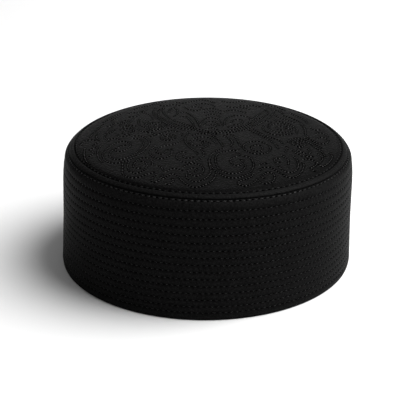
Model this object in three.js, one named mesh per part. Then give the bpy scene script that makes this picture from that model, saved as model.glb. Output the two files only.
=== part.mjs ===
// A pillbox prayer cap in padded black cloth: a round crown panel, a rolled welt round its edge, and
// a side band quilted in level channels. It is hollow and open below. Millimetres, +Z up, the front
// toward -Y, and the origin on the floor in the middle of the lower rim.

import * as THREE from 'three';

// Driving dimensions of the side band, in millimetres
const HEAD_GIRTH = 577;
const BAND_WALL = 3;
const BAND_HEIGHT = 76.2;
const BAND_TAPER = 5.3;
const RIM_ROUND = 1;

// Driving dimensions of the quilting: its stitch rows and how far the padding swells between them
const HEM_TURN = 5.2;
const HEM_CHANNEL = 4;
const TOP_CHANNEL = 5.6;
const EDGE_ROW_DROP = 0.5;
const CHANNEL_COUNT = 13;
const CHANNEL_GROWTH = 1.17;
const CHANNEL_SWELL = 0.7;
const TOP_SWELL = 0.9;

// Driving dimensions of the welt and of the crown panel
const WELT_RUN = 3.4;
const WELT_RISE = 2.2;
const WELT_SWELL = 0.5;
const WELT_WALL = 2.4;
const CROWN_WALL = 2;
const CROWN_RISE = 3;
const CROWN_TUCK = 0.7;
const CROWN_TUCK_WIDTH = 3;

// Clearance between two sewn pieces, square to their seam
const SEAM_GAP = 0.3;

// How far the soft top has moved from true: a lean to +X, a dip on that side, a slight twist, and
// a sag at both sides with as much of a rise at the front and back
const TOP_LEAN = 1.7;
const TOP_DIP = 0.85;
const TOP_TWIST = 0.55;
const TOP_SAG = 0.9;

// How finely the faceted surfaces are cut
const AROUND = 60;
const CHANNEL_CUTS = 3;
const TOP_CUTS = 5;
const ROUND_CUTS = 3;
const WELT_CUTS = 6;

// The band's upright line: height as a share of BAND_HEIGHT, inset as a share of BAND_TAPER
const BAND_SECTIONS = [
  { height: 0, inset: 0 },
  { height: 0.075, inset: 0.01 },
  { height: 0.24, inset: 0.1 },
  { height: 0.42, inset: 0.2 },
  { height: 0.6, inset: 0.23 },
  { height: 0.79, inset: 0.27 },
  { height: 0.89, inset: 0.37 },
  { height: 0.96, inset: 0.57 },
  { height: 0.985, inset: 0.78 },
  { height: 1, inset: 1 },
];

// The crown's upright line: place as a share of its radius, from the seam in to the middle
const CROWN_SECTIONS = [
  { place: 0.985 },
  { place: 0.965 },
  { place: 0.93 },
  { place: 0.8 },
  { place: 0.6 },
  { place: 0.35 },
];

const RIM_RADIUS = HEAD_GIRTH / (2 * Math.PI) + BAND_WALL;

const point = (radius, height) => new THREE.Vector2(radius, height);

// Radius of the band's padded line at a height, straight between the sections of the table
const bandRadius = (height) => {
  const share = THREE.MathUtils.clamp(height / BAND_HEIGHT, 0, 1);
  const next = Math.max(1, BAND_SECTIONS.findIndex((section) => section.height >= share));
  const low = BAND_SECTIONS[next - 1];
  const high = BAND_SECTIONS[next];
  const part = (share - low.height) / (high.height - low.height);
  return RIM_RADIUS - BAND_TAPER * THREE.MathUtils.lerp(low.inset, high.inset, part);
};

// Heights of the stitch rows, from the hem up: one narrow hem channel, channels that widen
// steadily, and the wide one under the welt
const stitchRows = () => {
  const rows = [HEM_TURN, HEM_TURN + HEM_CHANNEL];
  const last = BAND_HEIGHT - EDGE_ROW_DROP - TOP_CHANNEL;
  const mean = (last - rows[1]) / CHANNEL_COUNT;
  const widest = (2 * mean * CHANNEL_GROWTH) / (1 + CHANNEL_GROWTH);
  const narrowest = widest / CHANNEL_GROWTH;
  for (let channel = 0; channel < CHANNEL_COUNT; channel += 1) {
    const part = CHANNEL_COUNT > 1 ? channel / (CHANNEL_COUNT - 1) : 0.5;
    rows.push(rows.at(-1) + THREE.MathUtils.lerp(narrowest, widest, part));
  }
  rows.push(BAND_HEIGHT - EDGE_ROW_DROP);
  return rows;
};

// The seams where the welt meets the band and the crown, and the directions along the surface
const bandSeam = point(bandRadius(BAND_HEIGHT), BAND_HEIGHT);
const crownSeam = point(bandSeam.x - WELT_RUN, bandSeam.y + WELT_RISE);
const bandWay = bandSeam.clone().sub(point(bandRadius(0.9 * BAND_HEIGHT), 0.9 * BAND_HEIGHT)).normalize();
const weltWay = crownSeam.clone().sub(bandSeam).normalize();
const crownWay = point(-1, 0);

// The way into the cloth along the seam where two surfaces meet, one unit deep in the cloth
const seamDepth = (before, after) => {
  const inward = (way) => point(-way.y, way.x);
  const middle = inward(before).add(inward(after)).normalize();
  return middle.divideScalar(middle.dot(inward(before)));
};

const bandSeamDepth = seamDepth(bandWay, weltWay);
const crownSeamDepth = seamDepth(weltWay, crownWay);

// The way along the welt that clears a seam by SEAM_GAP, square to the seam's cut
const seamClearance = (depth) => {
  const cut = depth.clone().normalize();
  return SEAM_GAP / Math.abs(weltWay.cross(cut));
};

// A round of the rim's edge, from one angle to another about its own middle
const rimRound = (middleRadius, from, to) => {
  const points = [];
  for (let cut = 0; cut <= ROUND_CUTS; cut += 1) {
    const angle = THREE.MathUtils.lerp(from, to, cut / ROUND_CUTS);
    points.push(point(middleRadius + RIM_ROUND * Math.cos(angle), RIM_ROUND + RIM_ROUND * Math.sin(angle)));
  }
  return points;
};

// A closed or axis-to-axis upright line turned into a solid, then settled like soft cloth
const turned = (line) => {
  const geometry = new THREE.LatheGeometry(line, AROUND);
  geometry.rotateX(Math.PI / 2);
  const places = geometry.attributes.position;
  for (let index = 0; index < places.count; index += 1) {
    const x = places.getX(index);
    const y = places.getY(index);
    const share = Math.max(0, places.getZ(index) / crownSeam.y);
    const across = x / RIM_RADIUS;
    const along = y / RIM_RADIUS;
    const sag = TOP_SAG * (along ** 2 - across ** 2);
    const lift = share ** 1.5 * (TOP_TWIST * across * along - TOP_DIP * across + sag);
    places.setX(index, x + TOP_LEAN * share);
    places.setZ(index, places.getZ(index) + lift);
  }
  geometry.computeVertexNormals();
  return geometry;
};

// The quilted outer face, one swell of padding between each two stitch rows. The swell stands
// out of the padded line by about a third of its depth and sinks into it at the rows.
const quiltedFace = () => {
  const rows = stitchRows();
  const sunk = 2 / Math.PI;
  const points = [];
  rows.slice(0, -1).forEach((row, channel) => {
    const next = rows[channel + 1];
    const top = channel === rows.length - 2;
    const swell = top ? TOP_SWELL : CHANNEL_SWELL;
    const cuts = top ? TOP_CUTS : CHANNEL_CUTS;
    for (let cut = 0; cut < cuts; cut += 1) {
      const part = cut / cuts;
      const height = THREE.MathUtils.lerp(row, next, part);
      const stands = swell * Math.sin(Math.PI * part) - CHANNEL_SWELL * sunk;
      points.push(point(bandRadius(height) + stands, height));
    }
  });
  return points;
};

// The plain turned hem below the lowest stitch row, swelling a little
const hemFace = () => {
  const middle = HEM_TURN / 2;
  return [point(bandRadius(middle), middle)];
};

const sideBand = () => {
  const outerRound = rimRound(RIM_RADIUS - RIM_ROUND, -Math.PI / 2, 0);
  const innerRound = rimRound(RIM_RADIUS - BAND_WALL + RIM_ROUND, -Math.PI, -Math.PI / 2);
  const innerSeam = bandSeam.clone().addScaledVector(bandSeamDepth, BAND_WALL);
  const innerFace = BAND_SECTIONS.slice(1, -2)
    .map((section) => section.height * BAND_HEIGHT)
    .filter((height) => height > 2 * RIM_ROUND && height < innerSeam.y - 1)
    .map((height) => point(bandRadius(height) - BAND_WALL, height))
    .reverse();
  const line = [
    ...outerRound,
    ...hemFace(),
    ...quiltedFace(),
    bandSeam,
    innerSeam,
    ...innerFace,
    ...innerRound,
  ];
  return turned([...line, line[0].clone()]);
};

const welt = () => {
  const low = bandSeam.clone().addScaledVector(weltWay, seamClearance(bandSeamDepth));
  const high = crownSeam.clone().addScaledVector(weltWay, -seamClearance(crownSeamDepth));
  const outward = point(weltWay.y, -weltWay.x);
  const line = [];
  for (let cut = 0; cut <= WELT_CUTS; cut += 1) {
    const part = cut / WELT_CUTS;
    const swell = WELT_SWELL * Math.sin(Math.PI * part);
    line.push(low.clone().lerp(high, part).addScaledVector(outward, swell));
  }
  line.push(high.clone().addScaledVector(crownSeamDepth, WELT_WALL));
  line.push(low.clone().addScaledVector(bandSeamDepth, WELT_WALL));
  return turned([...line, line[0].clone()]);
};

// Height of the crown's top at a radius: a low dome, tucked down beside its seam
const crownHeight = (radius) => {
  const share = radius / crownSeam.x;
  const fromSeam = crownSeam.x - radius;
  const tuck = CROWN_TUCK * Math.min(1, fromSeam / CROWN_TUCK_WIDTH);
  return crownSeam.y + CROWN_RISE * (1 - share ** 2) + tuck;
};

const crownPanel = () => {
  const radii = CROWN_SECTIONS.map((section) => section.place * crownSeam.x);
  const edge = crownSeam.clone().addScaledVector(crownSeamDepth, CROWN_WALL);
  const under = radii.filter((radius) => radius < edge.x - 1).reverse();
  return turned([
    point(0, crownHeight(0) - CROWN_WALL),
    ...under.map((radius) => point(radius, crownHeight(radius) - CROWN_WALL)),
    edge,
    crownSeam,
    ...radii.map((radius) => point(radius, crownHeight(radius))),
    point(0, crownHeight(0)),
  ]);
};

const CLOTHS = {
  crown: { color: 0x1f1f21, roughness: 0.9, metalness: 0 },
  welt: { color: 0x1b1b1d, roughness: 0.85, metalness: 0 },
  band: { color: 0x161618, roughness: 0.93, metalness: 0 },
};

const PIECES = [
  { name: 'side_band', geometry: sideBand(), cloth: CLOTHS.band },
  { name: 'welt', geometry: welt(), cloth: CLOTHS.welt },
  { name: 'crown_panel', geometry: crownPanel(), cloth: CLOTHS.crown },
];

const cap = new THREE.Group();
PIECES.forEach(({ name, geometry, cloth }) => {
  const mesh = new THREE.Mesh(geometry, new THREE.MeshStandardMaterial(cloth));
  mesh.name = name;
  cap.add(mesh);
});

export default cap;
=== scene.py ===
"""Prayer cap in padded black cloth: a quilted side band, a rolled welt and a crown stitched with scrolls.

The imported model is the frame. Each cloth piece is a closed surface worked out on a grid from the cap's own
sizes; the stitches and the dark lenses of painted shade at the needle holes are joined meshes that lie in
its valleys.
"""

import logging
import math
from dataclasses import dataclass
from dataclasses import field
from enum import Enum

import bpy
import numpy as np
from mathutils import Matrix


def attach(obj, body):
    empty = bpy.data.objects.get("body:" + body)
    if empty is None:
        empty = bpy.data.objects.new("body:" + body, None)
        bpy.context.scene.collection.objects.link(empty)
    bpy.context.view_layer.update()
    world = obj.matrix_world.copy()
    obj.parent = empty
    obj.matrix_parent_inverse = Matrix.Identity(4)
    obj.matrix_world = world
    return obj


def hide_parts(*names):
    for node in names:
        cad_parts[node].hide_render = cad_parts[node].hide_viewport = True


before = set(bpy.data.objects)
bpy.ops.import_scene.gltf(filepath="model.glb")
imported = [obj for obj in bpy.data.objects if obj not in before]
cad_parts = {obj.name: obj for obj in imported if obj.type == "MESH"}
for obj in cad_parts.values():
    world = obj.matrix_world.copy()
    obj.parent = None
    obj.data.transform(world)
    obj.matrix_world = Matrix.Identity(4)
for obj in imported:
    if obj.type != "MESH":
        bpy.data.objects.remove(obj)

LOG = logging.getLogger("prayer_cap")
PHOTO_SIDE = 416
MM = 0.001
SEED = 7
TURN = 2 * math.pi


# Sizes and lines of the cap


@dataclass(frozen=True)
class Section:
    """One height of the side band: where it is, and how far the band has drawn in there.

    Args:
        height: share of the band's height.
        inset: share of the band's whole taper.
    """

    height: float
    inset: float


BAND_SECTIONS = (
    Section(0.0, 0.0),
    Section(0.075, 0.01),
    Section(0.24, 0.1),
    Section(0.42, 0.2),
    Section(0.6, 0.23),
    Section(0.79, 0.27),
    Section(0.89, 0.37),
    Section(0.96, 0.57),
    Section(0.985, 0.78),
    Section(1.0, 1.0),
)


@dataclass(frozen=True)
class CapForm:
    """Driving sizes of the cap, in metres, and the lines that its cloth follows.

    The upright lines are the solids' own, but the padding between the rows is only about half as full.
    The settled form leans to +X, dips there, twists a little, and sags at both sides, more towards the top.

    Args:
        head_girth: round the inside of the rim.
        band_wall: thickness of the side band.
        band_height: height of the seam between band and welt.
        band_taper: how far the band draws in from the rim up to that seam.
        rim_round: radius of the rim's rounded edge.
        hem_turn: height of the lowest stitch row.
        hem_channel: height of the channel over it.
        top_channel: height of the channel under the welt.
        edge_row_drop: how far the highest row lies below the seam.
        channel_count: channels between the hem's and the top one.
        channel_growth: height of the highest of them over that of the lowest.
        channel_swell: how far their padding stands out.
        top_swell: how far the top channel's padding stands out.
        welt_run: how far the welt goes in from the band's seam.
        welt_rise: how far the welt goes up from it.
        welt_swell: how far the welt's padding stands out.
        welt_wall: thickness of the welt.
        crown_wall: thickness of the crown.
        crown_rise: height of the crown's low dome.
        crown_tuck: how far the crown rises just inside its seam.
        crown_tuck_width: how far in from the seam it has risen.
        seam_gap: clearance between two sewn pieces.
        seam_roll: how far in the crown's edge starts to roll under.
        trough_depth: depth of the hollow beside the crown's seam.
        trough_width: width of that hollow.
        top_lean: how far the top has moved to +X.
        top_dip: how far it has dropped on that side.
        top_twist: how far it has twisted.
        top_sag: how far it has sagged at both sides.
        row_droop: how far the rows hang on the right of the front.
        droop_middle: where they hang most, in degrees round from +X.
        droop_reach: how far round that fades, in degrees.
        row_wander: how far the rows wander up and down.
        ease: share of the band's height over which its line bends.
    """

    head_girth: float = 577 * MM
    band_wall: float = 3 * MM
    band_height: float = 76.2 * MM
    band_taper: float = 5.3 * MM
    rim_round: float = 1 * MM
    hem_turn: float = 5.2 * MM
    hem_channel: float = 4 * MM
    top_channel: float = 5.6 * MM
    edge_row_drop: float = 0.5 * MM
    channel_count: int = 13
    channel_growth: float = 1.17
    channel_swell: float = 0.34 * MM
    top_swell: float = 0.8 * MM
    welt_run: float = 3.4 * MM
    welt_rise: float = 2.2 * MM
    welt_swell: float = 0.5 * MM
    welt_wall: float = 2.4 * MM
    crown_wall: float = 2 * MM
    crown_rise: float = 3 * MM
    crown_tuck: float = 0.7 * MM
    crown_tuck_width: float = 3 * MM
    seam_gap: float = 0.3 * MM
    seam_roll: float = 0.9 * MM
    trough_depth: float = 0.7 * MM
    trough_width: float = 3.5 * MM
    top_lean: float = 1.7 * MM
    top_dip: float = 0.85 * MM
    top_twist: float = 0.55 * MM
    top_sag: float = 0.9 * MM
    row_droop: float = 0.9 * MM
    droop_middle: float = -42.0
    droop_reach: float = 38.0
    row_wander: float = 0.13 * MM
    ease: float = 0.05

    @property
    def rim_radius(self) -> float:
        """Outer radius of the lower rim, from the girth inside it and the wall."""
        return self.head_girth / TURN + self.band_wall

    @property
    def band_seam(self) -> tuple[float, float]:
        """Radius and height of the seam between band and welt."""
        return self.rim_radius - self.band_taper, self.band_height

    @property
    def crown_seam(self) -> tuple[float, float]:
        """Radius and height of the seam between welt and crown."""
        radius, height = self.band_seam
        return radius - self.welt_run, height + self.welt_rise

    @property
    def sunk(self) -> float:
        """How far the stitch rows lie under the padded line."""
        return self.channel_swell * 2 / math.pi

    def band_radius(self, height: np.ndarray) -> np.ndarray:
        """Radius of the padded line at a height.

        The sections are joined by straight lines, and each place takes the mean over a short stretch round
        it, which shrinks to nothing at both ends, so the line bends softly.

        Args:
            height: heights in metres.

        Returns:
            Radii in metres, one for each height.
        """
        share = np.clip(np.asarray(height, float) / self.band_height, 0.0, 1.0)
        reach = np.minimum(self.ease, np.minimum(share, 1 - share))
        steps = np.linspace(-1, 1, 9)
        places = share[..., None] + reach[..., None] * steps
        heights = [section.height for section in BAND_SECTIONS]
        insets = [section.inset for section in BAND_SECTIONS]
        return self.rim_radius - self.band_taper * np.interp(places, heights, insets).mean(-1)

    def rows(self) -> np.ndarray:
        """Heights of the stitch rows from the hem up: a narrow channel, widening ones, and the top one."""
        first = self.hem_turn + self.hem_channel
        edge = self.band_height - self.edge_row_drop
        last = edge - self.top_channel
        mean = (last - first) / self.channel_count
        widest = 2 * mean * self.channel_growth / (1 + self.channel_growth)
        steps = np.linspace(widest / self.channel_growth, widest, self.channel_count)
        return np.concatenate([[self.hem_turn, first], first + np.cumsum(steps), [edge]])

    def crown_height(self, radius: np.ndarray) -> np.ndarray:
        """Height of the crown at a radius.

        It is a low dome, less a bell-shaped trough beside the seam, less the round by which its edge rolls
        under.
        """
        seam_radius, seam_height = self.crown_seam
        inside = np.clip(seam_radius - radius, 0, None)
        tuck = self.crown_tuck * np.minimum(1, inside / self.crown_tuck_width) ** 0.7
        roll = np.clip(1 - inside / self.seam_roll, 0, 1)
        drop = 0.35 * self.seam_roll * (1 - np.sqrt(1 - roll**2))
        trough = self.trough_depth * np.exp(-((inside / self.trough_width) ** 2))
        return seam_height + self.crown_rise * (1 - (radius / seam_radius) ** 2) + tuck - trough - drop

    def row_drift(self, around: np.ndarray, height: np.ndarray) -> np.ndarray:
        """How far sewn rows have moved up or down from level.

        They droop in one soft hollow on the right of the front, halfway up, and wander a little in a few
        slow waves of their own.

        Args:
            around: angles round the cap in radians, 0 at +X.
            height: heights in metres.

        Returns:
            Upward moves in metres.
        """
        share = np.clip(height / self.band_height, 0, 1)
        hold = np.sin(math.pi * share)
        front_right = np.angle(np.exp(1j * (around - math.radians(self.droop_middle))))
        droop = -self.row_droop * np.exp(-((front_right / math.radians(self.droop_reach)) ** 2))
        wander = np.sin(5 * around + 9 * share) + 0.6 * np.sin(11 * around - 14 * share + 1)
        return hold * (droop + self.row_wander * wander)

    def settled(self, points: np.ndarray) -> np.ndarray:
        """The points after the soft top has leaned, dipped, twisted and sagged, more towards the top."""
        x, y, z = points[..., 0], points[..., 1], points[..., 2]
        share = np.maximum(0, z / self.crown_seam[1])
        across, along = x / self.rim_radius, y / self.rim_radius
        sag = self.top_sag * (along**2 - across**2)
        lift = share**1.5 * (self.top_twist * across * along - self.top_dip * across + sag)
        return np.stack([x + self.top_lean * share, y, z + lift], -1)

    def seam_ways(self) -> tuple[np.ndarray, np.ndarray, np.ndarray]:
        """Directions of the band, the welt and the crown where they meet, each as radius and height."""
        lower = 0.9 * self.band_height
        band = np.array(self.band_seam) - (float(self.band_radius(lower)), lower)
        welt = np.array(self.crown_seam) - self.band_seam
        return band / np.linalg.norm(band), welt / np.linalg.norm(welt), np.array([-1.0, 0.0])

    def seam_depths(self) -> tuple[np.ndarray, np.ndarray]:
        """The way into the cloth along the band's seam and along the crown's, for a unit of depth."""
        inward = [np.array([-way[1], way[0]]) for way in self.seam_ways()]
        middles = [inward[0] + inward[1], inward[1] + inward[2]]
        units = [middle / np.linalg.norm(middle) for middle in middles]
        return units[0] / (units[0] @ inward[0]), units[1] / (units[1] @ inward[1])


# Mesh helpers


def new_piece(
    name: str,
    points: np.ndarray,
    faces: np.ndarray,
    uv: np.ndarray | None = None,
    values: dict[str, np.ndarray] | None = None,
) -> bpy.types.Object:
    """Makes a smooth mesh object at the origin from whole arrays.

    Args:
        name: the piece's name.
        points: its vertices in metres, one row each.
        faces: vertex numbers, one row for each face, and -1 in the fourth place of a triangle.
        uv: map coordinates for every face corner, in the order of the faces.
        values: float attributes on the vertices by name.

    Returns:
        The new object, linked to the scene.
    """
    sides = np.where(faces[:, 3] < 0, 3, 4)
    corners = faces.ravel()
    corners = corners[corners >= 0]
    mesh = bpy.data.meshes.new(name)
    mesh.vertices.add(len(points))
    mesh.vertices.foreach_set("co", points.astype(np.float32).ravel())
    mesh.loops.add(len(corners))
    mesh.loops.foreach_set("vertex_index", corners.astype(np.int32))
    mesh.polygons.add(len(faces))
    starts = np.concatenate([[0], np.cumsum(sides)[:-1]])
    mesh.polygons.foreach_set("loop_start", starts.astype(np.int32))
    mesh.polygons.foreach_set("use_smooth", np.ones(len(faces), bool))
    if uv is not None:
        layer = mesh.uv_layers.new(name="stitch_map")
        layer.data.foreach_set("uv", uv.astype(np.float32).ravel())
    for key, value in (values or {}).items():
        attribute = mesh.attributes.new(key, "FLOAT", "POINT")
        attribute.data.foreach_set("value", value.astype(np.float32).ravel())
    mesh.update(calc_edges=True)
    mesh.validate()
    piece = bpy.data.objects.new(name, mesh)
    bpy.context.scene.collection.objects.link(piece)
    return piece


def ring_faces(around: int, along: int) -> np.ndarray:
    """Quads of a grid that closes both ways, its vertices numbered along each section first.

    Args:
        around: how many sections there are round the cap.
        along: how many points each section has.

    Returns:
        Vertex numbers, one row for each quad, facing out when a section runs up its outer side.
    """
    i, j = np.meshgrid(np.arange(around), np.arange(along), indexing="ij")
    i, j = i.ravel(), j.ravel()
    i_next, j_next = (i + 1) % around, (j + 1) % along
    return np.stack([i * along + j, i_next * along + j, i_next * along + j_next, i * along + j_next], -1)


def copied_faces(faces: np.ndarray, copies: int, points: int) -> np.ndarray:
    """Faces of many copies of one small mesh that are joined in one.

    Args:
        faces: faces of the small mesh, with -1 in the fourth place of a triangle.
        copies: how many copies there are.
        points: how many vertices each has.

    Returns:
        Vertex numbers for all the copies, one row for each face.
    """
    shift = np.arange(copies)[:, None, None] * points
    return np.where(faces[None] < 0, -1, faces[None] + shift).reshape(-1, 4)


def turned(section: np.ndarray, angles: np.ndarray) -> np.ndarray:
    """A section of radius and height carried round the cap, as points by angle and then along it."""
    radius = np.broadcast_to(section[..., 0], (len(angles), section.shape[-2]))
    height = np.broadcast_to(section[..., 1], radius.shape)
    return np.stack([radius * np.cos(angles)[:, None], radius * np.sin(angles)[:, None], height], -1)


# The quilted side band


@dataclass(frozen=True)
class QuiltedBand:
    """The padded side band, quilted in level channels, with a turned hem below.

    Its outer face stands out between two stitch rows as half a sine raised to a power below one, so it is
    flatter on the crest and falls quickly to the rows. Its rim is rounded, and its inner face is smooth.

    Args:
        form: sizes of the cap.
        around: cuts round the cap, four for each stitch.
        stitches: stitches in each row.
        channel_cuts: cuts up each channel.
        stagger: share of a stitch by which each row is set off from the one below.
        hem_swell: how far the hem stands out.
        channel_power: power of the sine in the channels.
        top_power: power of the sine in the top channel.
        seam_tuck: share of the wall by which the outer face goes in at the seam.
        inner_drop: how far below the seam's inner corner the smooth inner face starts.
        inner_foot: height at which the inner face meets the rim's round.
        edge_stitches: stitches in the highest row, at the welt.
        edge_drop: how far that row's thread lies below the row.
    """

    form: CapForm
    around: int = 688
    stitches: int = 172
    channel_cuts: int = 7
    stagger: float = 0.37
    hem_swell: float = 0.25 * MM
    channel_power: float = 0.55
    top_power: float = 0.85
    seam_tuck: float = 0.15
    inner_drop: float = 2 * MM
    inner_foot: float = 3 * MM
    edge_stitches: int = 150
    edge_drop: float = 0.25 * MM

    def rim(self, middle: float, start: float, end: float) -> np.ndarray:
        """Points on a round of the rim's edge, between two angles in quarter turns."""
        angle = np.linspace(start, end, 6) * math.pi / 2
        radius = self.form.rim_round
        return np.stack([middle + radius * np.cos(angle), radius + radius * np.sin(angle)], -1)

    def hem(self) -> np.ndarray:
        """The turned hem: it follows the padded line, swells a little, and sinks to the lowest row."""
        form = self.form
        part = np.linspace(0, 1, 9)[1:-1]
        height = form.rim_round + part * (form.hem_turn - form.rim_round)
        radius = form.band_radius(height) + self.hem_swell * np.sin(math.pi * part) - form.sunk * part**3
        return np.stack([radius, height], -1)

    def channels(self) -> np.ndarray:
        """The quilted face: a swell of padding between each row and the next, roundest in the top one."""
        form = self.form
        rows = form.rows()
        part = np.arange(self.channel_cuts) / self.channel_cuts
        height = rows[:-1, None] + part * np.diff(rows)[:, None]
        swell = np.full(len(rows) - 1, form.channel_swell)
        swell[-1] = form.top_swell
        power = np.full(len(rows) - 1, self.channel_power)
        power[-1] = self.top_power
        stands = swell[:, None] * np.sin(math.pi * part) ** power[:, None] - form.sunk
        return np.stack([form.band_radius(height) + stands, height], -1).reshape(-1, 2)

    def section(self) -> tuple[np.ndarray, int]:
        """The whole closed section, and how many of its first points are the outer face."""
        form = self.form
        depth = form.seam_depths()[0]
        seam = np.array(form.band_seam)
        edge_row = np.array([float(form.band_radius(form.rows()[-1])) - form.sunk, form.rows()[-1]])
        top = [edge_row, seam + self.seam_tuck * form.band_wall * depth]
        inner_top = seam + form.band_wall * depth
        height = np.linspace(inner_top[1] - self.inner_drop, self.inner_foot, 12)
        inner = np.stack([form.band_radius(height) - form.band_wall, height], -1)
        outer = [self.rim(form.rim_radius - form.rim_round, -1, 0), self.hem(), self.channels(), top]
        inner_rim = self.rim(form.rim_radius - form.band_wall + form.rim_round, -2, -1)
        outer_count = sum(len(part) for part in outer)
        return np.concatenate([*outer, [inner_top], inner, inner_rim]), outer_count

    def build(self) -> bpy.types.Object:
        """Builds the band, with a map counting stitches round and rows up, and how proud each point is."""
        form = self.form
        section, outer_count = self.section()
        angles = np.arange(self.around) / self.around * TURN
        points = turned(section, angles)
        outer = np.arange(len(section)) < outer_count
        drift = form.row_drift(angles[:, None], section[None, :, 1])
        points[..., 2] += np.where(outer, drift, 0)
        faces = ring_faces(self.around, len(section))
        rows = form.rows()
        row = np.interp(section[:, 1], np.concatenate([[0], rows]), np.arange(-1, len(rows)))
        row = np.where(outer, row, -0.5)
        proud = np.abs(np.sin(math.pi * row)) * outer
        i, j = np.meshgrid(np.arange(self.around), np.arange(len(section)), indexing="ij")
        corner_i = np.stack([i, i + 1, i + 1, i], -1).reshape(-1, 4)
        corner_j = np.stack([j, j, j + 1, j + 1], -1).reshape(-1, 4) % len(section)
        uv = np.stack([corner_i / self.around * self.stitches, row[corner_j]], -1)
        values = {"proud": np.broadcast_to(proud, (self.around, len(section)))}
        settled = form.settled(points).reshape(-1, 3)
        return new_piece("quilted_band", settled, faces, uv.reshape(-1, 2), values)

    def row_places(self, row: int, count: int) -> tuple[np.ndarray, np.ndarray, np.ndarray]:
        """Where a row's stitches lie.

        Args:
            row: number of the row from the hem up.
            count: stitches in the row.

        Returns:
            Middles, directions along the row and directions out of the cloth, before the top settles.
        """
        form = self.form
        height = form.rows()[row]
        angles = (np.arange(count) + 0.5 - row * self.stagger) / count * TURN
        radius = float(form.band_radius(height)) - form.sunk
        up = height + form.row_drift(angles, np.full(count, height))
        middles = np.stack([radius * np.cos(angles), radius * np.sin(angles), up], -1)
        way = np.stack([-np.sin(angles), np.cos(angles), np.zeros(count)], -1)
        out = np.stack([np.cos(angles), np.sin(angles), np.zeros(count)], -1)
        return middles, way, out


# The rolled welt


@dataclass(frozen=True)
class RolledWelt:
    """The welt between band and crown: cloth rolled over padding, tucked down at both seams.

    Args:
        form: sizes of the cap.
        around: cuts round the cap.
        cuts: points across its face.
        power: power of the half sine that its face follows, below one for a full round.
        sink: share of the swell by which its edges lie under the seams.
        overlap: how far its inner corners reach past each seam, in seam gaps.
    """

    form: CapForm
    around: int = 480
    cuts: int = 22
    power: float = 0.6
    sink: float = 0.1
    overlap: float = 1.5

    def section(self) -> np.ndarray:
        """Closed section: a full round swell between the seams, and inner corners that close both seams."""
        form = self.form
        _, way, _ = form.seam_ways()
        band_depth, crown_depth = form.seam_depths()
        seam = np.array(form.band_seam)
        top = np.array(form.crown_seam)
        low = seam + way * form.seam_gap
        high = top - way * form.seam_gap
        part = np.linspace(0, 1, self.cuts)[:, None]
        swell = form.welt_swell * np.sin(math.pi * part) ** self.power - self.sink * form.welt_swell
        face = low + (high - low) * part + swell * np.array([way[1], -way[0]])
        past = self.overlap * form.seam_gap * way
        inner_high = high + form.welt_wall * crown_depth + past
        inner_low = low + form.welt_wall * band_depth - past
        return np.concatenate([face, [inner_high, inner_low]])

    def build(self) -> bpy.types.Object:
        """Builds the welt, with how proud each point of its roll is."""
        section = self.section()
        angles = np.arange(self.around) / self.around * TURN
        points = self.form.settled(turned(section, angles)).reshape(-1, 3)
        proud = np.sin(math.pi * np.linspace(0, 1, self.cuts))
        proud = np.concatenate([proud, [0, 0]])
        values = {"proud": np.broadcast_to(proud, (self.around, len(section)))}
        return new_piece("rolled_welt", points, ring_faces(self.around, len(section)), None, values)


# The scrolls stitched on the crown, in millimetres from its middle: right is +x, the back is +y


@dataclass(frozen=True)
class Scroll:
    """One stitched line, a smooth curve through a few charted knots.

    Args:
        motif: what the line belongs to.
        knots: places that the line passes, from its start.
    """

    motif: str
    knots: tuple[tuple[float, float], ...]


@dataclass(frozen=True)
class Ring:
    """A stitched oval.

    Args:
        x: place of its middle to the right.
        y: place of its middle to the back.
        radius: half its width.
        depth: half its depth.
    """

    x: float
    y: float
    radius: float
    depth: float


@dataclass(frozen=True)
class Fan:
    """Arches stitched one behind another.

    Args:
        x: place of the first arch's crest to the right.
        y: place of its crest to the back.
        half_width: half of each arch's width.
        drop: how far its feet lie in front of its crest.
        count: how many arches there are.
        step: how far each lies behind the one before.
        lean: how far each lies to the right of the one before.
    """

    x: float
    y: float
    half_width: float
    drop: float
    count: int
    step: float
    lean: float


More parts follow.
